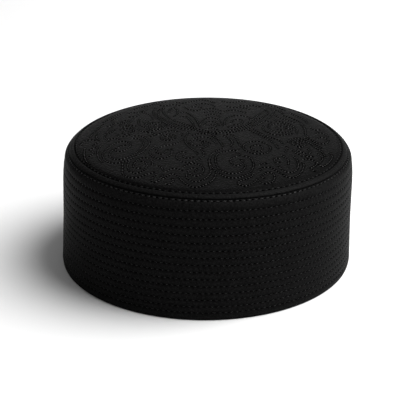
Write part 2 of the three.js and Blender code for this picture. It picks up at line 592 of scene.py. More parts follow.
SCROLLS = (
    Scroll("left_paisley", ((-49.5, 2.5), (-45.5, 3), (-41.5, 0.5), (-38.5, -5), (-37.5, -11),
                            (-39.5, -20), (-44, -30.5), (-50, -38.5), (-57, -42), (-63, -38), (-66, -28),
                            (-64.5, -20), (-62, -13), (-59, -8.5), (-55, -6), (-51, -8.5), (-49.5, -13),
                            (-50.5, -18), (-54.5, -23), (-58, -22.5), (-58.5, -18.5))),
    Scroll("left_paisley", ((-50, -2), (-47.5, -1.5), (-44.5, -3), (-42, -7.5), (-41.5, -14),
                            (-44, -23.5), (-48, -31), (-52, -35.5), (-57, -36.5), (-61, -31.5),
                            (-61.5, -25), (-60, -20))),
    Scroll("left_paisley", ((-57, -17.5), (-55.5, -14.5), (-53, -13))),
    Scroll("left_paisley", ((-68.5, -12), (-69.5, -21), (-68.5, -30.5), (-65.5, -40))),
    Scroll("left_edge", ((-78, -14), (-78, -23), (-76, -34), (-73, -41))),
    Scroll("left_edge", ((-70, -5), (-73, -10), (-71, -14), (-74.5, -18), (-72, -24), (-74, -29))),
    Scroll("left_edge", ((-81.5, -10.5), (-81, -5), (-79, -1), (-76, 0), (-73, -1.5))),
    Scroll("left_swirl", ((-33.5, -15), (-36.5, -24), (-35.5, -31.5), (-31, -37), (-26, -35), (-23, -29),
                          (-23, -22))),
    Scroll("left_swirl", ((-16, -2), (-18, -8), (-22, -13), (-28, -16), (-32, -20), (-32.5, -26),
                          (-29.5, -30), (-27, -27), (-26, -22))),
    Scroll("left_swirl", ((-39, 0), (-35, 3.5), (-31, 6), (-28, 9))),
    Scroll("middle_paisley", ((-15, 10), (-13.5, 6), (-15, -3), (-14.5, -10.5), (-12, -18), (-8.5, -25),
                              (-7, -30))),
    Scroll("middle_paisley", ((-5.5, -20), (-3, -28), (-4, -35), (-9, -42), (-14.5, -43), (-19, -38),
                              (-19.5, -31), (-17.5, -26.5), (-14.5, -27.5))),
    Scroll("middle_paisley", ((-15, -30.5), (-15.5, -34), (-13, -36.5), (-9.5, -35))),
    Scroll("low_left", ((-34.5, -49), (-34.5, -41), (-38, -35.5), (-43, -37), (-45.5, -44), (-45, -50),
                        (-41.5, -51))),
    Scroll("low_left", ((-47.5, -56), (-43.5, -58.5), (-39.5, -54.5), (-37.5, -48.5), (-38.5, -42.5),
                        (-41, -40.5))),
    Scroll("low_left", ((-52.5, -39), (-52.5, -48), (-51.5, -59), (-47.5, -64), (-42, -64.5),
                        (-37, -60.5), (-33, -57.5))),
    Scroll("low_left", ((-48.5, -39), (-49.5, -46), (-48, -55))),
    Scroll("leaf", ((-32.5, -48), (-30.5, -48.5), (-28.5, -51), (-27.5, -54))),
    Scroll("leaf", ((-26.5, -57.5), (-22.5, -53), (-19, -53), (-16, -55.5))),
    Scroll("leaf", ((-31, -60), (-33.5, -66), (-33, -71.5), (-29.5, -69.5), (-27.5, -62))),
    Scroll("leaf", ((-26, -73.5), (-23.5, -75), (-21, -71), (-21.5, -67.5))),
    Scroll("front_spiral", ((-27.5, -68), (-24.5, -63.5), (-22, -60.5), (-18.5, -63.5), (-15.5, -70.5),
                            (-11.5, -77), (-7, -79), (-2, -75.5), (2, -70), (4, -63), (4.5, -57.5))),
    Scroll("front_spiral", ((-13.5, -60), (-12.5, -67), (-8.5, -71.5), (-3.5, -69), (0, -62.5),
                            (1.5, -55), (0.5, -46), (0, -38.5))),
    Scroll("front_spiral", ((-16, -52.5), (-13.5, -47.5), (-9, -45), (-4.5, -48.5), (-3, -55),
                            (-5.5, -62.5), (-9.5, -62.5), (-12.5, -56), (-10.5, -52), (-7.5, -53),
                            (-8, -57.5))),
    Scroll("right_teardrop", ((19, -22.5), (13.5, -23.5), (7, -27.5), (4.5, -34), (4.5, -44), (7, -54),
                              (12.5, -59), (18.5, -57.5), (21.5, -51.5), (22.5, -46))),
    Scroll("right_teardrop", ((10, -19), (5, -24.5), (1.5, -32), (0.5, -42), (2.5, -51), (6, -59),
                              (11, -64.5), (17, -65), (22, -61), (26, -54), (27.5, -44), (26, -35),
                              (22.5, -32))),
    Scroll("right_teardrop", ((17, -24), (19.5, -30.5))),
    Scroll("right_teardrop", ((18, -32.5), (14.5, -36), (13.5, -41), (15.5, -46.5), (19, -46), (21, -41),
                              (20, -38))),
    Scroll("right_teardrop", ((27.5, -57.5), (24.5, -64), (19, -69), (17.5, -73), (21, -76), (25.5, -73),
                              (29, -66))),
    Scroll("right_spiral", ((29, -67), (32, -71.5), (37, -70), (39.5, -64), (39, -57), (35.5, -56),
                            (32, -61.5), (33, -64.5))),
    Scroll("right_spiral", ((30, -55), (32.5, -49.5), (37, -48), (41, -52.5), (43, -55.5))),
    Scroll("right_spiral", ((30.5, -45.5), (32.5, -43.5), (35, -42))),
    Scroll("right_paisley", ((52.5, -27.5), (55, -36), (54.5, -46), (51, -53), (46.5, -53), (43, -46))),
    Scroll("right_paisley", ((45, -27), (49, -34.5), (49, -42))),
    Scroll("right_paisley", ((45, -33), (41, -34), (41, -39.5), (43.5, -39.5))),
    Scroll("right_paisley", ((57.5, -35), (58.5, -42), (56, -53), (51.5, -61), (47, -60.5), (45, -57.5))),
    Scroll("right_hook", ((57.5, -33.5), (62, -31.5), (66, -35), (66, -40.5), (62.5, -46),
                          (64.5, -49.5))),
    Scroll("right_edge", ((50.5, -8), (51.5, -2.5), (54.5, 1.5), (58, 3), (61.5, 1), (64, -3), (66.5, -8),
                          (69, -13), (71.5, -17.5), (73, -25))),
    Scroll("right_edge", ((55, -11), (58.5, -14.5), (56, -19), (60, -22), (58, -27))),
    Scroll("right_edge", ((62, -13), (64, -19), (62, -26))),
    Scroll("right_edge", ((61.5, 5.5), (65, 1), (68.5, -5.5), (71.5, -11.5))),
    Scroll("middle_scroll", ((-11.5, 0), (-7.5, 4.5), (-3.5, 5), (1, 3.5), (4, -2), (7, -8), (9, -16))),
    Scroll("middle_scroll", ((-10.5, -5), (-6, -1), (-2, -1), (1.5, -4), (5, -12))),
    Scroll("middle_scroll", ((-5.5, -8), (-2, -8.5), (0.5, -13), (-3.5, -20))),
    Scroll("middle_scroll", ((-10.5, -12), (-9.5, -15.5))),
    Scroll("middle_scroll", ((-17.5, 7.5), (-17, 2.5))),
    Scroll("middle_scroll", ((8, 3), (12, -1), (15, -8), (14, -16))),
    Scroll("middle_scroll", ((10, 5.5), (15, 3), (18, -3), (19, -10), (20, -16))),
    Scroll("sweep_left", ((-36, 60), (-37.5, 50), (-35.5, 41.5), (-31, 31), (-25.5, 22.5), (-19, 16),
                          (-9, 12), (-1, 5), (4, 0))),
    Scroll("sweep_left", ((-32, 60), (-34, 50), (-33, 40), (-26.5, 29.5), (-21.5, 23), (-15, 18.5),
                          (-9.5, 15.5), (-2, 11), (5, 5))),
    Scroll("sweep_right", ((38, 60), (40.5, 51), (38, 44), (33, 33), (25.5, 21.5), (16.5, 13.5),
                           (8, 10.5), (0, 8))),
    Scroll("sweep_right", ((42, 62), (44.5, 53), (42.5, 46), (40, 39), (34.5, 28), (26, 16.5), (15, 9),
                           (5, 7))),
    Scroll("back_left", ((-30.5, 61), (-31, 53), (-29.5, 45), (-26.5, 36.5), (-22, 30), (-17.5, 25.5),
                         (-12.5, 20.5), (-8.5, 15.5))),
    Scroll("back_left", ((-27, 46), (-26.5, 54), (-24, 58), (-21.5, 54), (-21, 46.5), (-23, 40))),
    Scroll("back_left", ((-20.5, 46.5), (-16.5, 48.5), (-12.5, 43), (-9, 35.5), (-7, 26.5),
                         (-5.5, 18.5))),
    Scroll("back_left", ((-19, 38), (-15.5, 39), (-12.5, 32.5), (-10.5, 25), (-9.5, 18.5))),
    Scroll("back_right", ((10.5, 21), (11, 31), (13.5, 38), (17.5, 41.5), (22.5, 42), (26.5, 39.5),
                          (28, 33.5), (26.5, 26.5), (22.5, 21), (17.5, 18), (13, 18.5))),
    Scroll("back_right", ((14.5, 25.5), (16.5, 32), (20.5, 33.5), (22.5, 29.5), (20.5, 24.5), (17, 23))),
    Scroll("back_right", ((28.5, 35), (31.5, 41), (35, 47.5), (38.5, 54.5))),
    Scroll("back_dome", ((-5.5, 22.5), (-4, 30.5), (-1.5, 35), (2, 36.5), (6, 34), (8.5, 28), (9.5, 21))),
    Scroll("back_dome", ((-3, 20.5), (-1.5, 26.5), (1.5, 29), (5, 27), (7, 21))),
    Scroll("back_dome", ((-1, 19.5), (2, 23), (5, 20))),
    Scroll("back_dome", ((-3, 39.5), (1, 44), (4.5, 43.5), (7.5, 38.5))),
    Scroll("far_left", ((-50, 39), (-51.5, 32), (-53.5, 24), (-50, 19), (-49, 12))),
    Scroll("far_left", ((-45.5, 38), (-46.5, 30), (-45, 23), (-41, 18), (-38, 13), (-33, 13), (-31, 20))),
    Scroll("far_left", ((-42, 47), (-39, 43), (-37, 36), (-40, 30), (-42, 24))),
    Scroll("far_left", ((-57, 35), (-58, 27), (-57, 21), (-53, 23), (-48, 22.5))),
    Scroll("far_left", ((-60, 9), (-57.5, 3.5), (-53.5, 3.5), (-50, 7), (-49, 14), (-53, 17.5),
                        (-57.5, 16))),
    Scroll("far_left", ((-61.5, 30), (-64, 21), (-66, 12), (-67, 3), (-64, -4))),
    Scroll("far_left", ((-71, 14), (-72.5, 5), (-70.5, -2))),
    Scroll("far_left", ((-41.5, 8.5), (-37, 8), (-34.5, 3.5))),
    Scroll("far_left", ((-28.5, 15), (-23, 17), (-18, 14.5))),
    Scroll("far_left", ((-27.5, 9), (-24, 11), (-20.5, 9.5))),
    Scroll("far_left", ((-46, 47), (-48, 43), (-53, 41))),
    Scroll("right_band", ((25.5, 15), (30, 9), (35, 2.5), (39.5, -4), (42.5, -10.5), (44, -17))),
    Scroll("right_band", ((28, 17), (32.5, 10.5), (37.5, 4), (42, 0), (45.5, -3), (47, -7.5))),
    Scroll("far_right", ((37, 25), (35.5, 18), (37.5, 11.5), (42, 7.5), (48, 7), (54, 10.5))),
    Scroll("far_right", ((44, 48), (47, 42), (52, 37), (57, 33))),
    Scroll("far_right", ((43, 40), (45, 34), (50, 32), (55, 27), (58, 20), (57.5, 13))),
    Scroll("far_right", ((61, 30), (63.5, 21), (63, 12), (65, 5), (68, -0.5), (71, -3.5), (75, -3),
                         (77.5, 2.5))),
    Scroll("far_right", ((69.5, 12), (72, 15.5), (76, 14.5), (77.5, 10))),
    Scroll("far_right", ((69.5, 3.5), (73, 7.5), (76.5, 5.5))),
    Scroll("far_right", ((67, 26), (69.5, 21), (73, 21.5))),
    Scroll("far_right", ((48, -11), (50, -16), (48, -22))),
    Scroll("far_right", ((49, 47), (55, 42), (60, 36), (63, 29))),
    Scroll("far_right", ((33, 27), (37, 32), (41, 31), (40, 26))),
    Scroll("far_right", ((30, 20), (27, 27), (31, 35), (36, 39))),
    Scroll("far_right", ((68, -19), (71, -27), (69.5, -34), (66.5, -37))),
    Scroll("right_edge", ((75.5, -17), (77.5, -24), (75, -33), (70.5, -41), (68, -39))),
    Scroll("right_edge", ((52, -17), (55, -23), (60, -27), (65, -27))),
    Scroll("far_left", ((-68.5, 30), (-72.5, 21), (-75, 12), (-76.5, 5))),
    Scroll("far_left", ((-61, 41), (-64.5, 35), (-62, 29), (-58.5, 31))),
    Scroll("far_left", ((-55, 47.5), (-52, 51), (-48, 50), (-45.5, 53))),
    Scroll("far_left", ((-47.5, 17), (-44, 12.5), (-40, 10.5))),
    Scroll("far_left", ((-69, 24), (-66, 24), (-63.5, 28))),
    Scroll("far_left", ((-42, 36), (-43, 30), (-40, 25), (-37, 28))),
    Scroll("far_left", ((-68, 8), (-64, 11), (-61.5, 16))),
    Scroll("far_left", ((-65, -2), (-61, 0), (-57.5, -2))),
    Scroll("back_leaf", ((-41.5, 57), (-44.5, 51), (-42, 47))),
    Scroll("back_leaf", ((-17, 61), (-14, 55), (-9, 52), (-4, 55.5))),
    Scroll("back_leaf", ((9, 49), (14, 53.5), (20, 53), (25, 48.5))),
    Scroll("back_leaf", ((11, 63), (16, 60), (22, 60.5), (28, 57))),
    Scroll("back_leaf", ((-35, 66), (-30, 64), (-25, 66.5), (-20, 64.5))),
    Scroll("back_leaf", ((20, 66), (25, 64), (30, 66), (35, 63.5))),
    Scroll("back_leaf", ((44, 57), (48.5, 55), (50, 50))),
    Scroll("back_rim", ((-52, 56), (-46, 62), (-40, 66), (-36, 71), (-30, 73))),
    Scroll("back_rim", ((-24, 72), (-18, 70), (-12, 73), (-6, 77), (0, 75), (4, 70))),
    Scroll("back_rim", ((-10, 64), (-5, 68), (1, 66), (4, 61))),
    Scroll("back_rim", ((8, 76), (13, 72), (19, 73), (25, 76))),
    Scroll("back_rim", ((36, 71), (41, 67), (47, 64), (52, 58))),
    Scroll("back_rim", ((55, 52), (60, 46), (64, 41), (66, 34))),
    Scroll("back_rim", ((-58, 50), (-63, 45), (-67, 38), (-70, 33))),
)

RINGS = (
    Ring(-26, -1, 4.5, 5.5),
    Ring(-26, -1, 1.4, 2.2),
    Ring(-8, -11, 4.2, 5),
    Ring(-33.5, 21, 5.5, 6.5),
    Ring(-33.5, 21, 1.8, 2.6),
    Ring(-53.5, 10, 2, 3),
    Ring(30.5, -17, 8.5, 10.5),
    Ring(30.5, -18, 3.6, 5.2),
    Ring(57.5, -6, 4.2, 5.5),
    Ring(57.5, -6, 1.6, 2.2),
    Ring(47, 20, 7.5, 8.5),
    Ring(47.5, 20, 2.6, 3.4),
    Ring(-55, 31, 1.6, 3),
    Ring(53, 22, 1.4, 2),
)

FANS = (
    Fan(2, 16, 3.5, 2, 1, 6, 0),
    Fan(2, 50, 6, 4, 2, 6.5, 0),
    Fan(-9, 61, 4, 2.5, 1, 6, 0),
)


@dataclass(frozen=True)
class CrownChart:
    """The chart of the crown's stitching, and the stitches worked out along it.

    Args:
        form: sizes of the cap.
        pitch: distance from one stitch to the next.
        border_inset: how far the border row lies inside the seam.
        border_pitch: distance between the border's stitches.
        close_pitch: distance between the points that mark where the cloth is pulled in.
    """

    form: CapForm
    pitch: float = 2.25 * MM
    border_inset: float = 1.3 * MM
    border_pitch: float = 4 * MM
    close_pitch: float = 0.9 * MM

    @staticmethod
    def curve(knots: np.ndarray) -> np.ndarray:
        """A smooth line through knots, by cubics that head at each knot as its two neighbours lie."""
        ends = np.concatenate([[2 * knots[0] - knots[1]], knots, [2 * knots[-1] - knots[-2]]])
        t = np.linspace(0, 1, 24, endpoint=False)[:, None, None]
        a, b, c, d = ends[:-3], ends[1:-2], ends[2:-1], ends[3:]
        cubic = 2 * b + (c - a) * t + (2 * a - 5 * b + 4 * c - d) * t**2 + (3 * b - a - 3 * c + d) * t**3
        return np.concatenate([(0.5 * cubic).transpose(1, 0, 2).reshape(-1, 2), knots[-1:]])

    def lines(self) -> list[np.ndarray]:
        """Every charted line as close points, in metres: scrolls, ovals and fans."""
        turn = np.linspace(0, TURN, 60)
        lines = [self.curve(np.array(scroll.knots, float)) for scroll in SCROLLS]
        for ring in RINGS:
            x = ring.x + ring.radius * np.cos(turn)
            y = ring.y + ring.depth * np.sin(turn)
            lines.append(np.stack([x, y], -1))
        across = np.linspace(-1, 1, 30)
        for fan in FANS:
            for step in range(fan.count):
                x = fan.x + step * fan.lean + fan.half_width * across
                y = fan.y + step * fan.step - fan.drop * across**2
                lines.append(np.stack([x, y], -1))
        return [line * MM for line in lines]

    @staticmethod
    def spaced(line: np.ndarray, pitch: float) -> tuple[np.ndarray, np.ndarray]:
        """Stitches at an even pitch along a line.

        Args:
            line: close points of the line.
            pitch: distance between stitches.

        Returns:
            Middles of the stitches and unit directions along the line.
        """
        legs = np.linalg.norm(np.diff(line, axis=0), axis=1)
        run = np.concatenate([[0], np.cumsum(legs)])
        count = max(1, round(run[-1] / pitch))
        at = (np.arange(count) + 0.5) * run[-1] / count
        ahead, behind = [
            np.stack([np.interp(at + move, run, line[:, axis]) for axis in (0, 1)], -1)
            for move in (0.2 * pitch, -0.2 * pitch)
        ]
        way = ahead - behind
        return (ahead + behind) / 2, way / np.linalg.norm(way, axis=1)[:, None]

    def stitches(self) -> tuple[np.ndarray, np.ndarray]:
        """Middles and directions of all the scroll stitches, as seen from above."""
        found = [self.spaced(line, self.pitch) for line in self.lines()]
        return np.concatenate([middle for middle, _ in found]), np.concatenate([way for _, way in found])

    def border(self) -> tuple[np.ndarray, np.ndarray]:
        """Middles and directions of the border row's stitches, as seen from above."""
        radius = self.form.crown_seam[0] - self.border_inset
        turn = np.linspace(0, TURN, 721)
        return self.spaced(radius * np.stack([np.cos(turn), np.sin(turn)], -1), self.border_pitch)

    def sewn(self) -> np.ndarray:
        """Close points along every sewn line, for the hollows that the thread pulls in."""
        return np.concatenate([self.spaced(line, self.close_pitch)[0] for line in self.lines()])


# The crown


@dataclass(frozen=True)
class ScrolledCrown:
    """The crown: a soft disc that puffs up between its stitched scrolls, closed below by a plain underside.

    Args:
        form: sizes of the cap.
        chart: the stitching.
        cells: grid cells across the disc.
        puff: how far the cloth stands over the stitched lines.
        puff_width: distance from a line at which it has nearly risen.
        mean_rise: share of the puff that lies on the dome.
        border_puff: depth of the hollow along the border row.
        border_width: how far to each side that hollow goes.
        edge_fade: distance from the seam over which the puffs fade out.
    """

    form: CapForm
    chart: CrownChart
    cells: int = 272
    puff: float = 0.18 * MM
    puff_width: float = 1.1 * MM
    mean_rise: float = 0.6
    border_puff: float = 0.15 * MM
    border_width: float = 1.1 * MM
    edge_fade: float = 2 * MM

    def disc(self) -> np.ndarray:
        """A square grid bent to a disc: each square ring of it becomes a circle of the same cells."""
        side = np.linspace(-1, 1, self.cells + 1)
        a, b = np.meshgrid(side, side, indexing="ij")
        wide = np.abs(a) > np.abs(b)
        reach = np.where(wide, a, b)
        safe = np.where(reach == 0, 1, reach)
        turn = np.where(wide, b / safe, 2 - a / safe) * math.pi / 4
        radius = self.form.crown_seam[0]
        return radius * np.stack([reach * np.cos(turn), reach * np.sin(turn)], -1)

    def rise(self, spots: np.ndarray) -> np.ndarray:
        """How far the cloth has puffed up at each place, from 0 on a stitched line to 1 away from it.

        It is one less a bell curve of the distance to the nearest sewn point.
        """
        sewn = self.chart.sewn().astype(np.float32)
        rows = spots.reshape(self.cells + 1, self.cells + 1, 2).astype(np.float32)
        nearest = [
            ((row[:, None, 0] - sewn[:, 0]) ** 2 + (row[:, None, 1] - sewn[:, 1]) ** 2).min(1)
            for row in rows
        ]
        return 1 - np.exp(-np.stack(nearest).reshape(-1) / self.puff_width**2)

    def height(self, spots: np.ndarray, rise: np.ndarray) -> np.ndarray:
        """Height of the cloth: the dome with its puffs, less the hollow along the border row."""
        radius = np.linalg.norm(spots, axis=-1)
        border = self.form.crown_seam[0] - self.chart.border_inset
        hollow = np.exp(-(((radius - border) / self.border_width) ** 2))
        puffed = self.form.crown_height(radius) + self.puff * (rise - self.mean_rise)
        return puffed - self.border_puff * hollow

    def build(self) -> bpy.types.Object:
        """Builds the crown as one closed surface."""
        form = self.form
        count = self.cells + 1
        disc = self.disc().reshape(-1, 2)
        rise = self.rise(disc)
        fade = np.clip((form.crown_seam[0] - np.linalg.norm(disc, axis=1)) / self.edge_fade, 0, 1)
        rise = self.mean_rise + (rise - self.mean_rise) * fade
        top = np.column_stack([disc, self.height(disc, rise)])
        number = np.arange(count * count).reshape(count, count)
        square = [number[:-1, :-1], number[1:, :-1], number[1:, 1:], number[:-1, 1:]]
        faces = [np.stack([corner.ravel() for corner in square], -1)]
        edge = np.concatenate([number[:-1, 0], number[-1, :-1], number[:0:-1, -1], number[0, :0:-1]])
        angle = np.arctan2(disc[edge, 1], disc[edge, 0])
        rings = self.under_rings()
        under = turned(rings, angle).transpose(1, 0, 2).reshape(-1, 3)
        below = len(top) + np.arange(len(rings) * len(edge)).reshape(len(rings), -1)
        strips = np.concatenate([[edge], below])
        onward = np.roll(strips, -1, axis=1)
        quads = np.stack([strips[:-1], strips[1:], onward[1:], onward[:-1]], -1)
        faces.append(quads.reshape(-1, 4))
        middle = len(top) + len(under)
        last, last_on = strips[-1], onward[-1]
        faces.append(np.stack([last, np.full_like(last, middle), last_on, np.full_like(last, -1)], -1))
        pole = [[0, 0, float(form.crown_height(np.array(0.0))) - form.crown_wall]]
        points = form.settled(np.concatenate([top, under, pole]))
        proud = np.concatenate([rise, np.zeros(len(under) + 1)])
        return new_piece("scrolled_crown", points, np.concatenate(faces), None, {"proud": proud})

    def under_rings(self) -> np.ndarray:
        """Radius and height of the rings that go down the crown's edge and in under it."""
        form = self.form
        seam = np.array(form.crown_seam)
        edge = seam + form.crown_wall * form.seam_depths()[1]
        radius = edge[0] * np.array([0.97, 0.9, 0.75, 0.55, 0.35, 0.15])
        under = np.stack([radius, form.crown_height(radius) - form.crown_wall], -1)
        middle = (seam + edge) / 2
        return np.concatenate([[middle, edge], under])

    def places(self, middles: np.ndarray, ways: np.ndarray, sink: float) -> tuple[np.ndarray, ...]:
        """Stitches laid on the crown.

        Args:
            middles: places as seen from above.
            ways: directions as seen from above.
            sink: how far below the dome the stitched line lies.

        Returns:
            Middles, directions along the stitch and directions out of the cloth, before the top settles.
        """
        radius = np.linalg.norm(middles, axis=1)
        height = self.form.crown_height(radius) - sink
        slope = 2 * self.form.crown_rise / self.form.crown_seam[0] ** 2
        out = np.column_stack([slope * middles, np.ones(len(middles))])
        out /= np.linalg.norm(out, axis=1)[:, None]
        way = np.column_stack([ways, np.zeros(len(ways))])
        way -= (way * out).sum(1)[:, None] * out
        return np.column_stack([middles, height]), way, out


# Stitches and the painted shade of needle holes


@dataclass(frozen=True)
class Thread:
    """A run of stitches, each a short arched strand whose ends dive into the cloth.

    Args:
        name: the piece's name.
        length: length of each stitch that shows.
        width: thickness of the thread.
        arch: how far the middle of a stitch stands over its ends.
        sides: cuts round the strand.
        stations: cuts along it.
    """

    name: str
    length: float
    width: float
    arch: float = 0.14 * MM
    sides: int = 6
    stations: int = 5

    def template(self) -> tuple[np.ndarray, np.ndarray, np.ndarray]:
        """One stitch along its own axes: points, faces and the share along it of every point."""
        share = np.linspace(-1, 1, self.stations)
        turn = np.arange(self.sides) / self.sides * TURN
        girth = 0.5 * self.width * np.sqrt(1 - 0.75 * share**4)
        lift = self.arch * (1 - share**2) - 0.6 * self.arch
        along = np.repeat(0.5 * self.length * share, self.sides)
        side = np.outer(girth, np.cos(turn)).ravel()
        out = (np.outer(girth, np.sin(turn)) + lift[:, None]).ravel()
        tips = np.array([[-0.55 * self.length, 0, lift[0]], [0.55 * self.length, 0, lift[-1]]])
        points = np.concatenate([np.stack([along, side, out], -1), tips])
        i, j = np.meshgrid(np.arange(self.stations - 1), np.arange(self.sides), indexing="ij")
        i, j = i.ravel(), j.ravel()
        on = (j + 1) % self.sides
        quads = np.stack([i * self.sides + j, (i + 1) * self.sides + j, (i + 1) * self.sides + on,
                          i * self.sides + on], -1)
        ring = np.arange(self.sides)
        ring_on = (ring + 1) % self.sides
        last = (self.stations - 1) * self.sides
        none = np.full(self.sides, -1)
        start = np.stack([np.full(self.sides, len(points) - 2), ring, ring_on, none], -1)
        end = np.stack([np.full(self.sides, len(points) - 1), last + ring_on, last + ring, none], -1)
        return points, np.concatenate([quads, start, end]), np.append(np.repeat(share, self.sides), [-1, 1])

    def build(
        self, form: CapForm, middles: np.ndarray, ways: np.ndarray, outs: np.ndarray
    ) -> bpy.types.Object:
        """Lays a stitch at every place, each a little longer or shorter and turned a little.

        Args:
            form: sizes of the cap.
            middles: middles of the stitches.
            ways: unit directions along them.
            outs: unit directions out of the cloth.

        Returns:
            One joined mesh of all the stitches.
        """
        rng = np.random.default_rng(SEED + len(middles))
        points, faces, share = self.template()
        side = np.cross(outs, ways)
        turn = rng.normal(0, 0.05, len(middles))[:, None]
        along = ways * np.cos(turn) + side * np.sin(turn)
        side = np.cross(outs, along)
        stretch = rng.normal(1, 0.07, len(middles))[:, None, None]
        placed = (
            middles[:, None]
            + points[:, 0, None] * along[:, None] * stretch
            + points[:, 1, None] * side[:, None]
            + points[:, 2, None] * outs[:, None]
        )
        joined = copied_faces(faces, len(middles), len(points))
        tone = np.repeat(rng.uniform(0, 1, len(middles)), len(points))
        values = {"tone": tone, "strand": np.tile(share, len(middles))}
        return new_piece(self.name, form.settled(placed.reshape(-1, 3)), joined, None, values)


@dataclass(frozen=True)
class NeedleHoleShade:
    """Painted needle-hole shade: small dark lenses that lie nearly flat on the cloth between the stitches.

    Args:
        name: the piece's name.
        length: length of each along the stitching.
        width: width of each across it.
        rise: height of its middle over its rim.
        depth: how far it goes down below its rim.
        sides: cuts round the rim.
    """

    name: str
    length: float
    width: float
    rise: float = 0.04 * MM
    depth: float = 0.1 * MM
    sides: int = 8

    def build(
        self, form: CapForm, middles: np.ndarray, ways: np.ndarray, outs: np.ndarray
    ) -> bpy.types.Object:
        """Sets a lens at every place: an oval rim, with one point above it and one below."""
        turn = np.arange(self.sides) / self.sides * TURN
        rim = np.stack([0.5 * self.length * np.cos(turn), 0.5 * self.width * np.sin(turn), 0 * turn], -1)
        lens = np.concatenate([rim, [[0, 0, self.rise], [0, 0, -self.depth]]])
        ring = np.arange(self.sides)
        on = (ring + 1) % self.sides
        none = np.full(self.sides, -1)
        above = np.stack([ring, on, np.full(self.sides, self.sides), none], -1)
        below = np.stack([on, ring, np.full(self.sides, self.sides + 1), none], -1)
        faces = np.concatenate([above, below])
        side = np.cross(outs, ways)
        axes = np.stack([ways, side, outs], 1)
        placed = middles[:, None] + lens @ axes
        joined = copied_faces(faces, len(middles), len(lens))
        return new_piece(self.name, form.settled(placed.reshape(-1, 3)), joined)


@dataclass(frozen=True)
class Sewing:
    """Stitches and the painted shade of their needle holes, which go together.

    Args:
        thread: the stitches.
        thread_lift: how far their middles lie out of the cloth.
        holes: the painted shade of the needle holes, one half a pitch past each stitch.
        holes_lift: how far their rims lie out of the cloth.
        pitch: distance from one stitch to the next.
    """

    thread: Thread
    thread_lift: float
    holes: NeedleHoleShade
    holes_lift: float
    pitch: float


# Finishes


class Graph:
    """A node tree that is filled by short calls."""

    def __init__(self, tree: bpy.types.NodeTree) -> None:
        """Keeps the tree."""
        self.tree = tree

    def node(
        self, kind: str, inputs: dict[str | int, object] | None = None, **settings: object
    ) -> bpy.types.Node:
        """Adds a node.

        Args:
            kind: the node's type.
            inputs: a value or another node's output for each input, by name or number.
            settings: the node's own options.

        Returns:
            The new node.
        """
        made = self.tree.nodes.new(kind)
        for key, value in settings.items():
            setattr(made, key, value)
        for key, value in (inputs or {}).items():
            if isinstance(value, bpy.types.NodeSocket):
                self.tree.links.new(value, made.inputs[key])
            else:
                made.inputs[key].default_value = value
        return made

    def maths(self, operation: str, *values: object) -> bpy.types.NodeSocket:
        """The result of one sum on up to three values."""
        made = self.node("ShaderNodeMath", dict(enumerate(values)), operation=operation)
        return made.outputs[0]

    def blend(self, share: object, first: object, second: object) -> bpy.types.NodeSocket:
        """A colour between two others, by a share from 0 to 1."""
        made = self.node("ShaderNodeMix", {0: share, 6: first, 7: second}, data_type="RGBA")
        return made.outputs[2]


def new_material(name: str) -> tuple[bpy.types.Material, Graph]:
    """Starts a material with an empty node tree, and gives both."""
    made = bpy.data.materials.new(name)
    made.use_nodes = True
    made.node_tree.nodes.clear()
    return made, Graph(made.node_tree)


def new_group(name: str, inputs: dict[str, tuple[str, float]], outputs: tuple[str, ...]) -> Graph:
    """Starts a node group with named sockets.

    Args:
        name: the group's name.
        inputs: socket type and starting value of each input.
        outputs: names of the value outputs.

    Returns:
        The group's graph.
    """
    tree = bpy.data.node_groups.new(name, "ShaderNodeTree")
    for key, (kind, start) in inputs.items():
        socket = tree.interface.new_socket(key, in_out="INPUT", socket_type=kind)
        if kind == "NodeSocketFloat":
            socket.default_value = start
    for key in outputs:
        tree.interface.new_socket(key, in_out="OUTPUT", socket_type="NodeSocketFloat")
    return Graph(tree)


